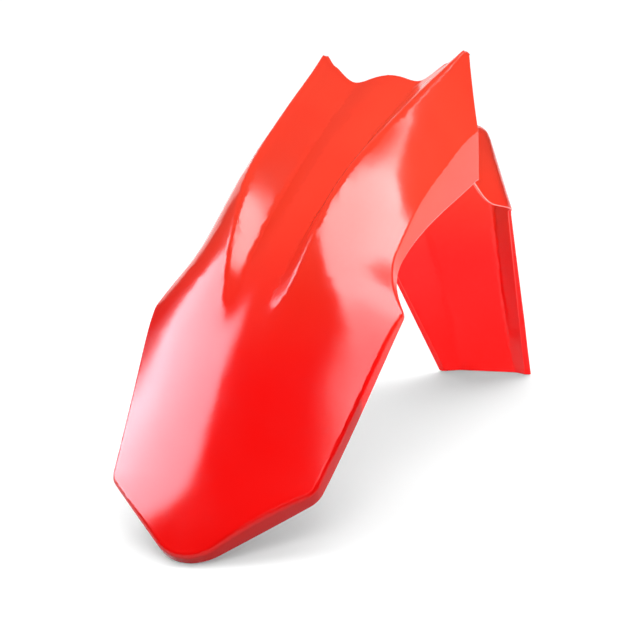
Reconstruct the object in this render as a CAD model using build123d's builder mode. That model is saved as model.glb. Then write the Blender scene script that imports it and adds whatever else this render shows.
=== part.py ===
# Front mudguard of an off-road motorcycle, moulded as one shell.
#
# Millimetres, +Z up. X runs across and -Y forward, as the mudguard stands on its nose and its flap.
# The origin is the centre of the four clamp bolts, on the top face of the clamp pad.

from build123d import *

import os
from math import cos, hypot, radians, sin, tan

# Wall and clamp bolts
wall = 2.8
clamp_height = 265.0
clamp_from_tip = 466.0
bolt_spacing_x = 70.0
bolt_spacing_y = 50.0
bolt_hole_r = 3.4

# Tongue seen along its own upright: half-widths at stations measured from the tip along the rake
tongue_rake = 39.0
tip_lead = 11.5
chamfer_half = 91.0
chamfer_station = 66.0
widest_half = 115.0
widest_station = 236.0
neck_half = 92.8
neck_station = 271.0
flank_half = 80.5
flank_past_ear = 5.0
tip_radius = 40.0
chamfer_radius = 20.0
widest_radius = 10.0
neck_radius = 105.0
rim_radius = 4.8

# Tongue seen from the side: (station, height above the rake) of its middle and of its edges
crown_knots = ((-40, -6), (0, 9), (100, 32), (265, 51.5), (416, 24.5), (548, -20), (640, -53))
edge_knots = (
    (-40, 2), (0, 6), (70, 9), (130, 13.5), (220, 16.5),
    (284, 14), (330, 7), (385, -9), (441, -32), (640, -127),
)
edge_half_knots = (
    (-40, 92), (70, 93), (170, 105), (236, 114), (286, 99),
    (330, 94), (400, 89.5), (500, 84.5), (640, 77),
)

# The two ridges that rise into the ears, and the valleys beside the middle
ridge_start = 180.0
ridge_knots = ((180, 0), (232, 6), (325, 28), (416, 37), (553, 67), (640, 96))
valley_knots = ((180, 0), (240, -1), (325, -5), (400, -4), (475, -1), (640, 6))
bulge_knots = ((180, 0), (325, 5), (475, 8), (640, 5))
crest_front_half = 22.0
valley_front_half = 15.0
ear_climb = 70.0
ear_panel = 9.8
valley_rear_half = 32.0
ridge_softness = 3.0
full_ridge = 20.0

# Rear edge of the tongue, seen along the lean of the ears
ear_lean = 11.0
notch_to_clamp = 59.0
notch_half = 31.0
notch_slope = 0.6
ear_past_notch = 16.0
lip_past_notch = 3.0
ear_radius = 4.0
crest_slope = 21.0

# Clamp pad, flap and the flanks beside them
pad_lap = 22.0
pad_half = 50.0
bend_behind_clamp = 64.0
foot_behind_clamp = 144.0
flap_foot_half = 33.5
front_depth = 68.0
front_flare = 30.0
knee_depth = 75.0
knee_flare = 35.0
foot_depth = 9.0
foot_flare = 24.0
bend_radius = 20.0
crease_radius = 18.0
kink_radius = 60.0

# Lower edge seen from the side: (distance, height) from the tip, then from the clamp
nose_edge = ((0, 0), (58, 44), (158, 138.5), (209, 181), (277, 206))
low_corner = (-56.0, -37.0)
flank_edge = ((-32, -37), (-26, -63), (36, -81))
flap_edge_foot = 135.0
flank_edge_radii = (8, 18, 10, 2)

# Sections of the loft, and how far the blocks run past what they are cut to
stations = (-30, 15, 60, 105, 150, 190, 230, 265, 300, 340, 385, 430, 475, 520)
half_steps = 16
crest_share = 0.6
skirt_steps = 2
skirt_step = 4.0
block_depth = 300.0
overrun = 12.0
web_margin = 6.0
margin = 60.0

# Directions of the raked tongue, its tip, and where the parts behind it lie
rake = radians(tongue_rake)
lean = radians(ear_lean)
across = Vector(1, 0, 0)
along = Vector(0, cos(rake), sin(rake))
upright = Vector(0, -sin(rake), cos(rake))
rise = Vector(0, sin(lean), cos(lean))
tip = Vector(0, -clamp_from_tip, -clamp_height)
side_plane = Plane(tip, x_dir=(0, 1, 0), z_dir=across)
notch_from_tip = clamp_from_tip - notch_to_clamp
notch_reach = (notch_from_tip - clamp_height * tan(lean)) * cos(lean)
ear_reach = notch_reach + ear_past_notch
ear_station = notch_from_tip * cos(rake) + clamp_height * sin(rake) + ear_climb
flank_station = ear_station + flank_past_ear
pad_front = notch_from_tip - pad_lap
bend_from_tip = clamp_from_tip + bend_behind_clamp
flap_foot = clamp_from_tip + foot_behind_clamp

crown_line = Spline(*crown_knots)
edge_line = Spline(*edge_knots)
edge_half_line = Spline(*edge_half_knots)
ridge_line = Spline(*ridge_knots)
valley_line = Spline(*valley_knots)
bulge_line = Spline(*bulge_knots)


def crossing(guide, station):
    """Height of a guide curve at a station."""
    return guide.find_intersection_points(Axis((station, 0, 0), (0, 1, 0)))[0].Y


# Half the distance between the tips of the ears
ear_half = crossing(edge_half_line, ear_station) - ear_panel


def lower(a, b, softness):
    """The lower of two heights, with the corner between them rounded."""
    return (a + b) / 2 - hypot((a - b) / 2, softness)


def upper(a, b, softness):
    """The higher of two heights, with the corner between them rounded."""
    return (a + b) / 2 + hypot((a - b) / 2, softness)


def half_section(station, inset):
    """Points of the skin from the middle to beyond the edge, sunk by inset square to the skin."""
    crown = crossing(crown_line, station)
    edge = crossing(edge_line, station)
    edge_half = crossing(edge_half_line, station)
    fall = (crown - edge) / edge_half**2
    ridged = station > ridge_start
    ridge = crossing(ridge_line, station) if ridged else 0
    dip = crossing(valley_line, station) if ridged else 0
    bulge = crossing(bulge_line, station) if ridged else 0
    share = max(0, (station - ridge_start) / (ear_station - ridge_start))
    crest_half = crest_front_half + (ear_half - crest_front_half) * share
    valley_half = valley_front_half + (valley_rear_half - valley_front_half) * share
    crest = crown - fall * crest_half**2 + ridge
    valley = crown - fall * valley_half**2 + dip
    panel_width = edge_half - crest_half
    panel_rise = 4 * bulge + fall * panel_width**2
    inner_slope = (crest - valley) / (crest_half - valley_half)
    softness = (ridge_softness + inset) * min(1, ridge / full_ridge)
    crowding = crest_share * (edge_half / crest_half - 1) / (1 - crest_share)
    points = []
    for step in range(half_steps + skirt_steps + 1):
        u = step / half_steps
        x = edge_half * u / (u + crowding * (1 - u))
        if step > half_steps:
            x = edge_half + skirt_step * (step - half_steps)
        if not ridged:
            height = crown - fall * x**2 - inset * hypot(1, 2 * fall * x)
            points.append((x, height))
            continue
        middle_slope = -2 * (crown - valley) * x / valley_half**2
        middle = crown - (crown - valley) * (x / valley_half) ** 2 - inset * hypot(1, middle_slope)
        inner = valley + inner_slope * (x - valley_half) - inset * hypot(1, inner_slope)
        reach = (x - crest_half) / panel_width
        inside = min(max(reach, 0), 1)
        beyond = abs(reach - inside)
        panel_slope = (edge - crest + panel_rise * (1 - 2 * inside)) / panel_width
        panel = crest + (edge - crest) * reach + panel_rise * (inside * (1 - inside) - beyond)
        panel = panel - inset * hypot(1, panel_slope)
        points.append((x, lower(upper(middle, inner, softness), panel, softness)))
    return points


def tongue_section(station, inset):
    """Closed section of the tongue at a station, with the skin as its upper side."""
    right = half_section(station, inset)
    points = [Vector(-x, h) for x, h in reversed(right[1:])] + [Vector(x, h) for x, h in right]
    ticks = [i / (len(points) - 1) for i in range(len(points))]
    reach = points[-1].X
    with BuildSketch(Plane(tip + along * station, x_dir=across, z_dir=-along)) as section:
        with BuildLine():
            add(Edge.make_spline(points, parameters=ticks))
            Polyline(points[-1], (reach, -block_depth), (-reach, -block_depth), points[0])
        make_face()
    return section.sketch


def tongue_block(inset):
    """Solid under the skin of the tongue, inside its outline."""
    with BuildPart() as block:
        loft([tongue_section(station, inset) for station in (*stations, ear_station + overrun)])
        with BuildSketch(Plane(tip - upright * block_depth, x_dir=across, z_dir=upright)) as outline:
            with BuildLine():
                Polyline(
                    (0, -tip_lead),
                    (chamfer_half, chamfer_station),
                    (widest_half, widest_station),
                    (neck_half, neck_station),
                    (flank_half, flank_station),
                    (0, flank_station),
                    close=True,
                )
            make_face()
            mirror(about=Plane.YZ)
            fillet(outline.vertices().group_by(Axis.Y)[3], neck_radius)
            fillet(outline.vertices().group_by(Axis.Y)[2], widest_radius)
            fillet(outline.vertices().group_by(Axis.Y)[1], chamfer_radius)
            fillet(outline.vertices().group_by(Axis.Y)[0], tip_radius)
            if inset:
                offset(amount=-inset, kind=Kind.INTERSECTION, mode=Mode.REPLACE)
        extrude(amount=2 * block_depth, mode=Mode.INTERSECT)
    return block.part


def rear_cut(inset):
    """Everything behind the lip, the notches and the ears of the tongue."""
    side = widest_half + margin
    near = ear_reach - inset
    far = ear_reach + block_depth
    right = [(ear_half, near), (notch_half, notch_reach - inset)]
    left = [(-x, reach) for x, reach in reversed(right)]
    middle = (0, notch_reach + lip_past_notch - inset)
    slopes = ((-1, -notch_slope), (-1, notch_slope))
    with BuildPart() as cut:
        with BuildSketch(Plane(tip, x_dir=across, z_dir=rise)):
            with BuildLine():
                Spline(*right, middle, *left, tangents=slopes)
                Polyline(left[-1], (-side, near), (-side, far), (side, far), (side, near), right[0])
            make_face()
        extrude(amount=2 * block_depth)
    return cut.part


def ear_corners(peak):
    """What is cut from the tips of the ears to round them, seen from the side."""
    slope = radians(crest_slope)
    over = Vector(-sin(slope), cos(slope))
    behind = Vector(cos(lean), -sin(lean))
    half_turn = over.get_angle(behind) / 2
    bisector = (over + behind).normalized()
    corner = Vector(peak.Y - tip.Y, peak.Z - tip.Z)
    centre = corner - bisector * (ear_radius / cos(radians(half_turn)))
    with BuildPart() as cut:
        with BuildSketch(side_plane):
            with BuildLine():
                far = corner + bisector * margin
                Polyline(centre, centre + over * margin, far, centre + behind * margin, close=True)
            make_face()
            with Locations(centre):
                Circle(ear_radius * 1.04, mode=Mode.SUBTRACT)
        extrude(amount=widest_half, both=True)
    return cut.part


def flank_section(plane, half, depth, flare, inset):
    """Trapezoid between the two flanks, from above the web to below the lower edges."""
    lean = inset * hypot(depth, flare) / depth
    top = half - flare * web_margin / depth - lean
    low = half + flare * 2 - lean
    with BuildSketch(plane) as section:
        with BuildLine():
            Polyline((-low, -2 * depth), (-top, web_margin), (top, web_margin), (low, -2 * depth), close=True)
        make_face()
    return section.sketch


def rear_block(inset):
    """Solid under the clamp pad and in front of the flap, between the flanks."""
    start = tip + Vector(0, pad_front, clamp_height)
    bend = tip + Vector(0, bend_from_tip, clamp_height)
    foot = tip + Vector(0, flap_foot, 0)
    fall = (foot - bend).normalized()
    back = across.cross(fall)
    miter = (Vector(0, 0, 1) + back).normalized()
    deep = foot + fall * overrun
    front_plane = Plane(start, x_dir=across, z_dir=(0, -1, 0))
    knee_plane = Plane(bend, x_dir=across, z_dir=across.cross(miter))
    foot_plane = Plane(deep, x_dir=across, z_dir=fall * -1)
    sections = [
        flank_section(front_plane, pad_half, front_depth, front_flare, inset),
        flank_section(knee_plane, pad_half, knee_depth, knee_flare, inset),
        flank_section(foot_plane, flap_foot_half, foot_depth, foot_flare, inset),
    ]
    with BuildPart() as block:
        loft(sections, ruled=True)
        kinks = block.edges().filter_by(lambda edge: knee_plane.contains(edge @ 0.5))
        fillet(kinks.filter_by(Axis.X, reverse=True), kink_radius)
        with BuildSketch(side_plane.offset(-widest_half)) as profile:
            with BuildLine():
                Polyline(
                    (pad_front, clamp_height),
                    (bend_from_tip, clamp_height),
                    (deep.Y - tip.Y, deep.Z - tip.Z),
                    (pad_front, deep.Z - tip.Z),
                    close=True,
                )
            make_face()
            fillet(profile.vertices().sort_by_distance((bend_from_tip, clamp_height))[0], bend_radius)
            if inset:
                offset(amount=-inset, kind=Kind.INTERSECTION, mode=Mode.REPLACE)
        extrude(amount=2 * widest_half, mode=Mode.INTERSECT)
        upward = block.faces().filter_by(lambda face: face.normal_at().Z > 0.1)
        web = upward.filter_by(lambda face: abs(face.normal_at().X) < 0.01)
        creases = [edge for face in web for edge in face.edges().filter_by(Axis.X, reverse=True)]
        fillet(creases, crease_radius - inset)
    return block.part


def wheel_side():
    """The space under the lower edge, from the nose to the foot of the flap."""
    front = (-margin, -margin * nose_edge[1][1] / nose_edge[1][0])
    low, *flank = [(clamp_from_tip + y, clamp_height + z) for y, z in (low_corner, *flank_edge)]
    foot = (clamp_from_tip + flap_edge_foot, 0)
    back = flap_foot + 2 * margin
    with BuildPart() as space:
        with BuildSketch(side_plane):
            with BuildLine():
                Spline(front, *nose_edge, low)
                FilletPolyline(low, *flank, foot, (back, 0), radius=flank_edge_radii)
                Polyline((back, 0), (back, -block_depth), (-margin, -block_depth), front)
            make_face()
        extrude(amount=widest_half + margin, both=True)
    return space.part


with BuildPart() as hollow:
    add(tongue_block(wall))
    add(rear_cut(wall), mode=Mode.SUBTRACT)
    add(rear_block(wall))

with BuildPart() as mudguard:
    add(tongue_block(0))
    skin = mudguard.faces().sort_by(Axis(tip, upright))[-1]
    rim = skin.edges().sort_by(Axis(tip, along))[:-1]
    fillet(rim, rim_radius)
    add(rear_cut(0), mode=Mode.SUBTRACT)
    add(rear_block(0))
    add(wheel_side(), mode=Mode.SUBTRACT)
    add(hollow.part, mode=Mode.SUBTRACT)
    peak = mudguard.vertices().sort_by(Axis.Z)[-1]
    add(ear_corners(peak), mode=Mode.SUBTRACT)
    with GridLocations(bolt_spacing_x, bolt_spacing_y, 2, 2):
        Hole(bolt_hole_r, depth=2 * wall)

mudguard.part.label = "front_mudguard"
os.makedirs("parts", exist_ok=True)
export_step(mudguard.part, "parts/front_mudguard.step")
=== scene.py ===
"""Looks of a moulded off-road motorcycle front mudguard on a white studio floor."""

import logging
import math
from dataclasses import dataclass, field
from enum import Enum

import bmesh
import bpy
import numpy as np
from mathutils import Matrix, Quaternion, Vector
from mathutils.bvhtree import BVHTree


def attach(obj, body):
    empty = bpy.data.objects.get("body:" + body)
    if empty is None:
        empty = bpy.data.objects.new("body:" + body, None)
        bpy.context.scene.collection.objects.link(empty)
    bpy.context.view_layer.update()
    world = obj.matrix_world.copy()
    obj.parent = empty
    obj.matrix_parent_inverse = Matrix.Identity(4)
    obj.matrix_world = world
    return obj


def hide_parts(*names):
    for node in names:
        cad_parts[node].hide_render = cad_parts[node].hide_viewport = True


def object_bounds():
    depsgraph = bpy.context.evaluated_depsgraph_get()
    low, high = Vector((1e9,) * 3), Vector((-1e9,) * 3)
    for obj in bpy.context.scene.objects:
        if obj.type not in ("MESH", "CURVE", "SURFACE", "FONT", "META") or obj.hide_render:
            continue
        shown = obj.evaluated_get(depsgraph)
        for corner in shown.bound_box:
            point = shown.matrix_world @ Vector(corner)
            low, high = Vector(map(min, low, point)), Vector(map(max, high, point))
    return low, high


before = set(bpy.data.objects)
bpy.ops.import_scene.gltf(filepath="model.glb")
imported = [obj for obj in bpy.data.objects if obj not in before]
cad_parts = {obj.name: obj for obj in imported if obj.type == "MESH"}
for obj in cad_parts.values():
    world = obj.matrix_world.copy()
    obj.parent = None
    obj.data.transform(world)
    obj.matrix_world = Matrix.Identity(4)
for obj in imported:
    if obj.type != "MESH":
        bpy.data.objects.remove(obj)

CAD_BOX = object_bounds()
LOG = logging.getLogger("mudguard")
NODE = "front_mudguard"
PAINTED_TOP_LIGHT = "painted_top_light"
PAINTED_EDGE_HIGHLIGHT = "painted_edge_highlight"
BEND = "bend"
OCTAVE_SHARE = 0.55
WHITE = (1.0, 1.0, 1.0, 1.0)
Colour = tuple[float, float, float]
Place = tuple[float, float, float]


class Side(Enum):
    """Sides of the moulded wall, by their place in the shell's list of materials."""

    OUTSIDE = 0
    WHEEL = 1


class MixSocket(Enum):
    """Places of the colour sockets on a Mix node."""

    SHARE = 0
    FIRST = 6
    SECOND = 7
    RESULT = 2


@dataclass
class Graph:
    """A node tree that is being wired."""

    tree: bpy.types.NodeTree

    def node(self, kind: str, **values: object) -> bpy.types.Node:
        """Add a node.

        Args:
            kind: The node's type, without the leading word for shader nodes.
            values: Properties of the node to set.

        Returns:
            The new node.
        """
        node = self.tree.nodes.new("ShaderNode" + kind)
        for name, value in values.items():
            setattr(node, name, value)
        return node

    def feed(self, node: bpy.types.Node, **sources: object) -> None:
        """Link or set inputs of a node.

        Args:
            node: The node whose inputs are fed.
            sources: Input names, with underscores for spaces, and an output socket or a plain value.
        """
        for name, source in sources.items():
            self.put(source, node.inputs[name.replace("_", " ")])

    def put(self, source: object, socket: bpy.types.NodeSocket) -> None:
        """Link or set one input.

        Args:
            source: An output socket or a plain value.
            socket: The input.
        """
        if isinstance(source, bpy.types.NodeSocket):
            self.tree.links.new(source, socket)
        else:
            socket.default_value = source

    def maths(self, operation: str, *terms: object) -> bpy.types.NodeSocket:
        """Add a sum, product or other operation on values.

        Args:
            operation: The operation's name.
            terms: Its terms, in order.

        Returns:
            The result's socket.
        """
        node = self.node("Math", operation=operation)
        for term, socket in zip(terms, node.inputs):
            self.put(term, socket)
        return node.outputs[0]

    def mix(self, share: object, first: object, second: object) -> bpy.types.NodeSocket:
        """Add a mix of two colours.

        Args:
            share: How much of the second colour there is.
            first: The first colour.
            second: The second colour.

        Returns:
            The mixed colour's socket.
        """
        node = self.node("Mix", data_type="RGBA")
        for source, place in ((share, MixSocket.SHARE), (first, MixSocket.FIRST), (second, MixSocket.SECOND)):
            self.put(source, node.inputs[place.value])
        return node.outputs[MixSocket.RESULT.value]

    def noise(self, position: bpy.types.NodeSocket, scale: float, detail: float) -> bpy.types.NodeSocket:
        """Add a noise texture.

        Args:
            position: Where the noise is read.
            scale: Waves to the metre.
            detail: Finer octaves on top.

        Returns:
            The noise's value socket.
        """
        noise = self.node("TexNoise")
        self.feed(noise, Vector=position, Scale=scale, Detail=detail, Roughness=OCTAVE_SHARE)
        return noise.outputs["Fac"]

    def between(
        self,
        value: bpy.types.NodeSocket,
        span: tuple[float, float],
        low: object,
        high: object,
    ) -> bpy.types.NodeSocket:
        """Map a span of a value onto another span.

        Args:
            value: The value to map.
            span: Its ends that are met by the new ends.
            low: The new value at the first end.
            high: The new value at the second end.

        Returns:
            The mapped value's socket.
        """
        mapped = self.node("MapRange")
        mapped.inputs["From Min"].default_value, mapped.inputs["From Max"].default_value = span
        self.feed(mapped, Value=value, To_Min=low, To_Max=high)
        return mapped.outputs["Result"]


@dataclass
class MouldedSkin:
    """Node group of a moulded surface: painted top light on the high faces that look up, a painted highlight
    along the rounded edges, haze in the gloss and a faint orange peel.
    """

    light_wander_scale: float = 7.0
    haze_scale: float = 45.0
    peel_scale: float = 260.0
    grain_scale: float = 1500.0
    light_wander_span: tuple[float, float] = (0.35, 0.65)
    haze_span: tuple[float, float] = (0.3, 0.7)
    top_light_share: tuple[float, float] = (0.8, 1.0)
    edge_highlight_span: tuple[float, float] = (0.7, 1.0)

    def build(self) -> bpy.types.NodeTree:
        """Wire the group.

        Returns:
            The node group, to be placed in each material.
        """
        tree = bpy.data.node_groups.new("moulded_skin", "ShaderNodeTree")
        for name, kind in (
            ("Position", "NodeSocketVector"),
            ("Sunned", "NodeSocketFloat"),
            ("Deep Colour", "NodeSocketColor"),
            ("Bright Colour", "NodeSocketColor"),
            ("Rubbed", "NodeSocketFloat"),
            ("Rubbed Colour", "NodeSocketColor"),
            ("Smooth", "NodeSocketFloat"),
            ("Hazy", "NodeSocketFloat"),
            ("Grain", "NodeSocketFloat"),
        ):
            tree.interface.new_socket(name, in_out="INPUT", socket_type=kind)
        for name, kind in (
            ("Colour", "NodeSocketColor"),
            ("Roughness", "NodeSocketFloat"),
            ("Height", "NodeSocketFloat"),
        ):
            tree.interface.new_socket(name, in_out="OUTPUT", socket_type=kind)
        graph = Graph(tree)
        given = tree.nodes.new("NodeGroupInput").outputs
        result = tree.nodes.new("NodeGroupOutput")
        position = given["Position"]

        light_wander = graph.noise(position, self.light_wander_scale, 2.0)
        haze = graph.noise(position, self.haze_scale, 4.0)
        peel = graph.noise(position, self.peel_scale, 1.0)
        grain = graph.noise(position, self.grain_scale, 2.0)

        # Painted top light: the deep red turns to the brighter orange red on the high faces that look up,
        # wandering with a noise.
        top_light = graph.maths("MULTIPLY", given["Sunned"], graph.between(light_wander, self.light_wander_span, *self.top_light_share))
        colour = graph.mix(top_light, given["Deep Colour"], given["Bright Colour"])
        # Painted highlight along the rounded upper edges, broken up by the haze noise.
        edge_highlight = graph.maths("MULTIPLY", given["Rubbed"], graph.between(haze, self.haze_span, *self.edge_highlight_span))
        edged = graph.mix(edge_highlight, colour, given["Rubbed Colour"])
        roughness = graph.between(haze, self.haze_span, given["Smooth"], given["Hazy"])
        height = graph.maths("MULTIPLY_ADD", grain, given["Grain"], peel)
        graph.feed(result, Colour=edged, Roughness=roughness, Height=height)
        return tree


@dataclass(frozen=True)
class RedPlastic:
    """Red moulded plastic, polished or satin."""

    name: str
    deep: Colour
    # The bright colour is the painted top light on the high faces that look up.
    bright: Colour
    smooth: float
    hazy: float
    grain: float
    peel_depth: float
    specular: float
    painted_edge_highlight: Colour
    bounce: Colour = (0.3, 0.3, 0.3)

    def material(self, skin: bpy.types.NodeTree) -> bpy.types.Material:
        """Make the material.

        Args:
            skin: The node group of the moulded surface.

        Returns:
            The finished material.
        """
        material = bpy.data.materials.new(self.name)
        material.use_nodes = True
        graph = Graph(material.node_tree)
        shader = material.node_tree.nodes["Principled BSDF"]
        place = graph.node("TexCoord")
        # Mask of the painted top light on the high faces that look up.
        painted_top_light = graph.node("Attribute", attribute_name=PAINTED_TOP_LIGHT)
        # Mask of the painted highlight along the rounded upper edges.
        painted_edge_highlight = graph.node("Attribute", attribute_name=PAINTED_EDGE_HIGHLIGHT)
        surface = graph.node("Group", node_tree=skin)
        graph.feed(
            surface,
            Position=place.outputs["Object"],
            Sunned=painted_top_light.outputs["Fac"],
            Deep_Colour=(*self.deep, 1.0),
            Bright_Colour=(*self.bright, 1.0),
            Rubbed=painted_edge_highlight.outputs["Fac"],
            Rubbed_Colour=(*self.painted_edge_highlight, 1.0),
            Smooth=self.smooth,
            Hazy=self.hazy,
            Grain=self.grain,
        )
        path = graph.node("LightPath")
        tone = graph.mix(path.outputs["Is Diffuse Ray"], surface.outputs["Colour"], (*self.bounce, 1.0))
        bump = graph.node("Bump")
        graph.feed(bump, Strength=1.0, Distance=self.peel_depth, Height=surface.outputs["Height"])
        graph.feed(
            shader,
            Base_Color=tone,
            Roughness=surface.outputs["Roughness"],
            Normal=bump.outputs["Normal"],
            Specular_IOR_Level=self.specular,
        )
        return material


GLOSS_RED = RedPlastic(
    name="gloss_red_plastic",
    deep=(0.96, 0.0035, 0.003),
    # The bright colour is painted top light for the high faces that look up.
    bright=(0.97, 0.060, 0.026),
    smooth=0.13,
    hazy=0.17,
    grain=0.1,
    peel_depth=0.00002,
    specular=0.3,
    # A pale painted highlight along the rounded upper edges.
    painted_edge_highlight=(1.0, 0.32, 0.30),
)
SATIN_RED = RedPlastic(
    name="satin_red_plastic",
    deep=(0.96, 0.005, 0.005),
    bright=(0.96, 0.008, 0.007),
    smooth=0.30,
    hazy=0.40,
    grain=1.0,
    peel_depth=0.00004,
    specular=0.05,
    # A faint painted highlight along the rounded edges on the wheel side.
    painted_edge_highlight=(0.98, 0.02, 0.02),
)


@dataclass
class Shell:
    """The moulded shell: one wall, polished outside and satin towards the wheel."""

    outside: RedPlastic = GLOSS_RED
    wheel_side: RedPlastic = SATIN_RED
    weld: float = 1e-7
    sharp_angle: float = math.radians(35)
    edge_round: float = 0.0012
    edge_segments: int = 3
    stray: float = 0.0004
    longest_edge: float = 0.007
    split_rounds: int = 4
    even_rounds: int = 12
    even_angle: float = math.radians(5)
    # Height span over which the painted edge highlight comes in.
    highlight_height: tuple[float, float] = (-0.10, -0.05)
    wheel_centre: Place = (0.0, -0.16, -0.40)
    # Spans of height and upward tilt over which the painted top light comes in.
    top_light_height: tuple[float, float] = (-0.15, 0.0)
    top_light_tilt: tuple[float, float] = (-0.7, -0.2)
    skin: MouldedSkin = field(default_factory=MouldedSkin)

    def merged(self) -> bmesh.types.BMesh:
        """Weld a copy of the frame's triangles.

        Returns:
            The welded shape.
        """
        shape = bmesh.new()
        shape.from_mesh(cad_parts[NODE].data)
        bmesh.ops.remove_doubles(shape, verts=shape.verts, dist=self.weld)
        return shape

    def round_edges(self, shape: bmesh.types.BMesh) -> None:
        """Break the sharp edges of the wall, as a mould leaves them, and mark the rounded strips high on the
        wall for a painted edge highlight.

        Args:
            shape: The welded shape.
        """
        layer = shape.verts.layers.float.new(PAINTED_EDGE_HIGHLIGHT)
        wall = BVHTree.FromBMesh(shape)
        sharp = [
            edge for edge in shape.edges
            if edge.is_manifold and edge.calc_face_angle() > self.sharp_angle
        ]
        made = bmesh.ops.bevel(
            shape,
            geom=sharp,
            offset=self.edge_round,
            offset_type="OFFSET",
            affect="EDGES",
            segments=self.edge_segments,
            profile=0.5,
            material=-1,
            clamp_overlap=False,
            loop_slide=False,
        )
        rounded = set(made["faces"])
        for vert in shape.verts:
            # Vertices wholly on the rounded strips get the painted edge highlight, more of it higher up.
            if all(face in rounded for face in vert.link_faces):
                vert[layer] = self.ease(vert.co.z, self.highlight_height)
            nearest, _, _, gap = wall.find_nearest(vert.co)
            if gap > self.stray:
                vert.co = nearest

    def split_slivers(self, shape: bmesh.types.BMesh) -> None:
        """Split the long thin triangles of the frame into short ones, which keep the frame's normals.

        Args:
            shape: The shape with its edges rounded.
        """
        layer = shape.verts.layers.float_vector.new(BEND)
        shape.normal_update()
        for vert in shape.verts:
            weighted = (face.normal * face.calc_area() for face in vert.link_faces)
            vert[layer] = sum(weighted, Vector()).normalized()
        for _ in range(self.split_rounds):
            long_edges = [edge for edge in shape.edges if edge.calc_length() > self.longest_edge]
            bmesh.ops.subdivide_edges(shape, edges=long_edges, cuts=1)
            bmesh.ops.triangulate(shape, faces=shape.faces, quad_method="BEAUTY", ngon_method="BEAUTY")

    def even_normals(self, mesh: bpy.types.Mesh) -> None:
        """Even out the normals where the frame's triangles disturb the gloss, and leave the tight bends.

        Args:
            mesh: The shell's mesh.
        """
        normals = np.empty(len(mesh.vertices) * 3)
        mesh.attributes[BEND].data.foreach_get("vector", normals)
        normals = normals.reshape(-1, 3)
        ends = np.empty(len(mesh.edges) * 2, dtype=np.int32)
        mesh.edges.foreach_get("vertices", ends)
        one, other = ends.reshape(-1, 2).T
        normals /= np.linalg.norm(normals, axis=1, keepdims=True)
        for _ in range(self.even_rounds):
            match = (normals[one] * normals[other]).sum(axis=1, keepdims=True)
            pull = np.exp(2.0 * (match - 1.0) / self.even_angle**2)
            spread = 2.0 * normals
            np.add.at(spread, one, pull * normals[other])
            np.add.at(spread, other, pull * normals[one])
            normals = spread / np.linalg.norm(spread, axis=1, keepdims=True)
        mesh.attributes.remove(mesh.attributes[BEND])
        mesh.normals_split_custom_set_from_vertices(normals.tolist())

    def part_sides(self, shape: bmesh.types.BMesh) -> None:
        """Mark the faces that look at the wheel.

        Args:
            shape: The shape with its edges rounded.
        """
        centre = Vector(self.wheel_centre)
        for face in shape.faces:
            inward = face.normal.dot(centre - face.calc_center_median()) > 0
            face.material_index = (Side.WHEEL if inward else Side.OUTSIDE).value
            face.smooth = True

    @staticmethod
    def ease(value: float, span: tuple[float, float]) -> float:
        """Ease from 0 to 1 over a span.

        Args:
            value: Where the span is read.
            span: Its two ends.

        Returns:
            The eased share.
        """
        share = min(max((value - span[0]) / (span[1] - span[0]), 0.0), 1.0)
        return share * share * (3.0 - 2.0 * share)

    def paint_top_light(self, shape: bmesh.types.BMesh) -> None:
        """Mark the painted top light at each vertex, most on the high faces that look up, where the light
        falls.

        Args:
            shape: The shape with its edges rounded.
        """
        layer = shape.verts.layers.float.new(PAINTED_TOP_LIGHT)
        shape.normal_update()
        for vert in shape.verts:
            vert[layer] = self.ease(vert.co.z, self.top_light_height) * self.ease(vert.normal.z, self.top_light_tilt)

    def dress(self, mesh: bpy.types.Mesh) -> None:
        """Give the mesh its two finishes.

        Args:
            mesh: The shell's mesh.
        """
        skin = self.skin.build()
        mesh.materials.clear()
        for finish in (self.outside, self.wheel_side):
            mesh.materials.append(finish.material(skin))

    def build(self) -> bpy.types.Object:
        """Make the shell.

        Returns:
            The shell's object.
        """
        shape = self.merged()
        self.round_edges(shape)
        self.split_slivers(shape)
        self.part_sides(shape)
        self.paint_top_light(shape)
        mesh = bpy.data.meshes.new("mudguard_shell")
        shape.to_mesh(mesh)
        shape.free()
        self.even_normals(mesh)
        self.dress(mesh)
        piece = bpy.data.objects.new("mudguard_shell", mesh)
        bpy.context.scene.collection.objects.link(piece)
        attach(piece, "root")
        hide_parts(NODE)
        return piece


@dataclass(frozen=True)
class SoftBox:
    """A soft box of the studio."""

    name: str
    place: Place
    facing: Place
    long_side: Place
    size: tuple[float, float]
    radiance: float
    colour: Colour = (1.0, 1.0, 1.0)
    in_gloss: bool = True
    part_only: bool = False

    def hang(self, part: bpy.types.Collection) -> None:
        """Hang the lamp, for the gloss or for the even light on the part.

        Args:
            part: The pieces that a lamp for the part alone lights.
        """
        data = bpy.data.lights.new(self.name, "AREA")
        data.shape = "RECTANGLE"
        data.size, data.size_y = self.size
        data.energy = self.radiance * math.pi * self.size[0] * self.size[1]
        data.color = self.colour
        lamp = bpy.data.objects.new(self.name, data)
        lamp.visible_diffuse = not self.in_gloss
        lamp.visible_glossy = self.in_gloss
        lamp.visible_camera = False
        if self.part_only:
            lamp.light_linking.receiver_collection = part
        back = -Vector(self.facing).normalized()
        along = Vector(self.long_side)
        along = (along - back * along.dot(back)).normalized()
        lamp.rotation_euler = Matrix((along, back.cross(along), back)).transposed().to_euler()
        lamp.location = self.place
        bpy.context.scene.collection.objects.link(lamp)


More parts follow.
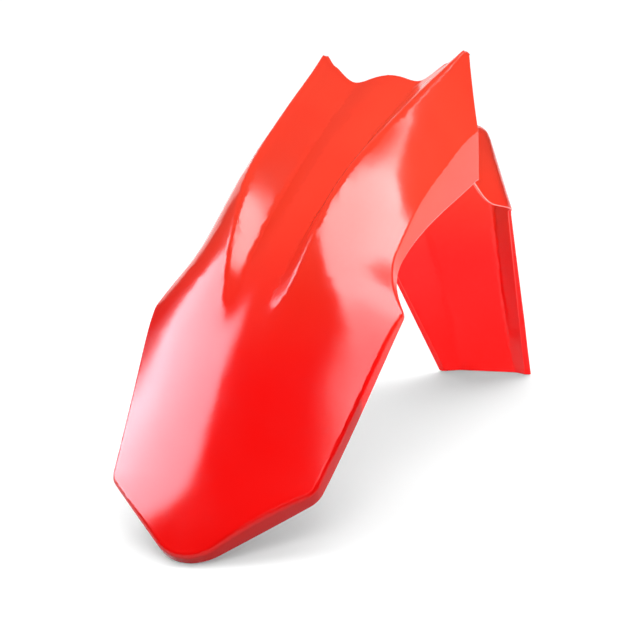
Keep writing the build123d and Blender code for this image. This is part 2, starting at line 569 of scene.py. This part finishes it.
@dataclass
class Studio:
    """Floor, lamps, world and camera."""

    floor_half: float = 15.0
    floor_grey: float = 0.97
    floor_glow: float = 0.08
    floor_bounce: float = 0.28
    floor_roughness: float = 0.9
    world_level: float = 0.05
    sky_strength: float = 3.6
    sky_angle: float = math.radians(120)
    sky_turn: Place = (math.radians(-36), math.radians(-4), 0.0)
    boxes: tuple[SoftBox, ...] = (
        SoftBox(
            name="left_box",
            place=(-2.10, -0.70, 1.19),
            facing=(0.839, 0.199, -0.506),
            long_side=(0.539, -0.429, 0.725),
            size=(2.2, 1.06),
            radiance=13.0,
            colour=(0.85, 0.87, 1.0),
        ),
        SoftBox(
            name="right_box",
            place=(1.385, 0.050, 2.019),
            facing=(-0.667, -0.101, -0.739),
            long_side=(-0.371, -0.815, 0.446),
            size=(3.40, 0.62),
            radiance=15.5,
            colour=(0.97, 0.97, 1.0),
        ),
        SoftBox(
            name="right_low_box",
            place=(1.559, -0.493, 1.935),
            facing=(-0.667, -0.101, -0.739),
            long_side=(-0.371, -0.815, 0.446),
            size=(2.50, 0.25),
            radiance=9.5,
            colour=(0.97, 0.97, 1.0),
        ),
        SoftBox(
            name="back_box",
            place=(-1.40, 2.20, 0.40),
            facing=(0.53, -0.83, -0.17),
            long_side=(0.84, 0.54, 0.0),
            size=(2.6, 1.1),
            radiance=0.9,
        ),
        SoftBox(
            name="left_fill",
            place=(-2.2, -1.0, 0.9),
            facing=(0.86, 0.36, -0.36),
            long_side=(0.4, -0.9, 0.0),
            size=(1.6, 1.4),
            radiance=1.5,
            in_gloss=False,
        ),
        SoftBox(
            name="front_fill",
            place=(1.1, -2.3, 1.3),
            facing=(-0.38, 0.77, -0.52),
            long_side=(0.9, 0.44, 0.0),
            size=(1.6, 1.2),
            radiance=6.5,
            in_gloss=False,
        ),
        SoftBox(
            name="arch_fill",
            place=(0.25, -0.30, -0.222),
            facing=(-0.33, 0.94, 0.07),
            long_side=(0.94, 0.33, 0.0),
            size=(0.25, 0.07),
            radiance=46.0,
            in_gloss=False,
            part_only=True,
        ),
    )
    azimuth: float = 27.65
    elevation: float = 12.09
    roll: float = -4.386
    distance: float = 1.7378
    aim: Place = (0.0, -0.216, -0.1305)
    focal_length: float = 114.64
    sensor_width: float = 36.0
    far_limit: float = 100.0

    def floor_paint(self) -> bpy.types.Material:
        """Mix the white of the floor.

        Returns:
            The floor's material.
        """
        material = bpy.data.materials.new("floor_white")
        material.use_nodes = True
        graph = Graph(material.node_tree)
        shader = material.node_tree.nodes["Principled BSDF"]
        path = graph.node("LightPath")
        seen = path.outputs["Is Camera Ray"]
        for ray in ("Is Glossy Ray", "Is Transmission Ray"):
            seen = graph.maths("MAXIMUM", seen, path.outputs[ray])
        greys = ((grey, grey, grey, 1.0) for grey in (self.floor_bounce, self.floor_grey))
        tone = graph.mix(seen, *greys)
        graph.feed(
            shader,
            Base_Color=tone,
            Roughness=self.floor_roughness,
            Specular_IOR_Level=0.0,
            Emission_Color=WHITE,
            Emission_Strength=graph.maths("MULTIPLY", seen, self.floor_glow),
        )
        return material

    def floor(self) -> None:
        """Lay the white floor under the lowest point of the part."""
        shape = bmesh.new()
        bmesh.ops.create_grid(shape, x_segments=1, y_segments=1, size=self.floor_half)
        bmesh.ops.translate(shape, verts=shape.verts, vec=(0, 0, CAD_BOX[0][2]))
        mesh = bpy.data.meshes.new("floor")
        shape.to_mesh(mesh)
        shape.free()
        mesh.materials.append(self.floor_paint())
        floor = bpy.data.objects.new("floor", mesh)
        bpy.context.scene.collection.objects.link(floor)

    def world(self) -> None:
        """Fill the studio with a little even light."""
        world = bpy.data.worlds.new("studio")
        bpy.context.scene.world = world
        world.use_nodes = True
        background = world.node_tree.nodes["Background"]
        background.inputs["Color"].default_value = WHITE
        background.inputs["Strength"].default_value = self.world_level

    def sky(self) -> None:
        """Spread a wide soft light from above, which leaves no shape in the gloss."""
        data = bpy.data.lights.new("ceiling", "SUN")
        data.energy = self.sky_strength
        data.angle = self.sky_angle
        lamp = bpy.data.objects.new("ceiling", data)
        lamp.rotation_euler = self.sky_turn
        lamp.visible_glossy = False
        bpy.context.scene.collection.objects.link(lamp)

    def camera(self) -> None:
        """Stand the camera at the photograph's angle."""
        data = bpy.data.cameras.new("camera")
        data.sensor_width = self.sensor_width
        data.lens = self.focal_length
        data.clip_end = self.far_limit
        camera = bpy.data.objects.new("camera", data)
        turn, lift = math.radians(self.azimuth), math.radians(self.elevation)
        away = Vector((math.sin(turn) * math.cos(lift), -math.cos(turn) * math.cos(lift), math.sin(lift)))
        camera.location = Vector(self.aim) + away * self.distance
        look = away.to_track_quat("Z", "Y")
        camera.rotation_euler = (look @ Quaternion((0, 0, 1), math.radians(self.roll))).to_euler()
        bpy.context.scene.collection.objects.link(camera)
        bpy.context.scene.camera = camera

    def build(self, piece: bpy.types.Object) -> None:
        """Set up the whole studio.

        Args:
            piece: The part's shell.
        """
        bpy.context.scene.view_settings.view_transform = "Standard"
        part = bpy.data.collections.new("lit_part")
        part.objects.link(piece)
        self.floor()
        self.world()
        self.sky()
        for box in self.boxes:
            box.hang(part)
        self.camera()


def main() -> None:
    """Build every piece and report it."""
    logging.basicConfig(level=logging.INFO)
    shell = Shell().build()
    LOG.info("built %s with %d faces", shell.name, len(shell.data.polygons))
    Studio().build(shell)
    LOG.info("set up the studio")


if __name__ == "__main__":
    main()
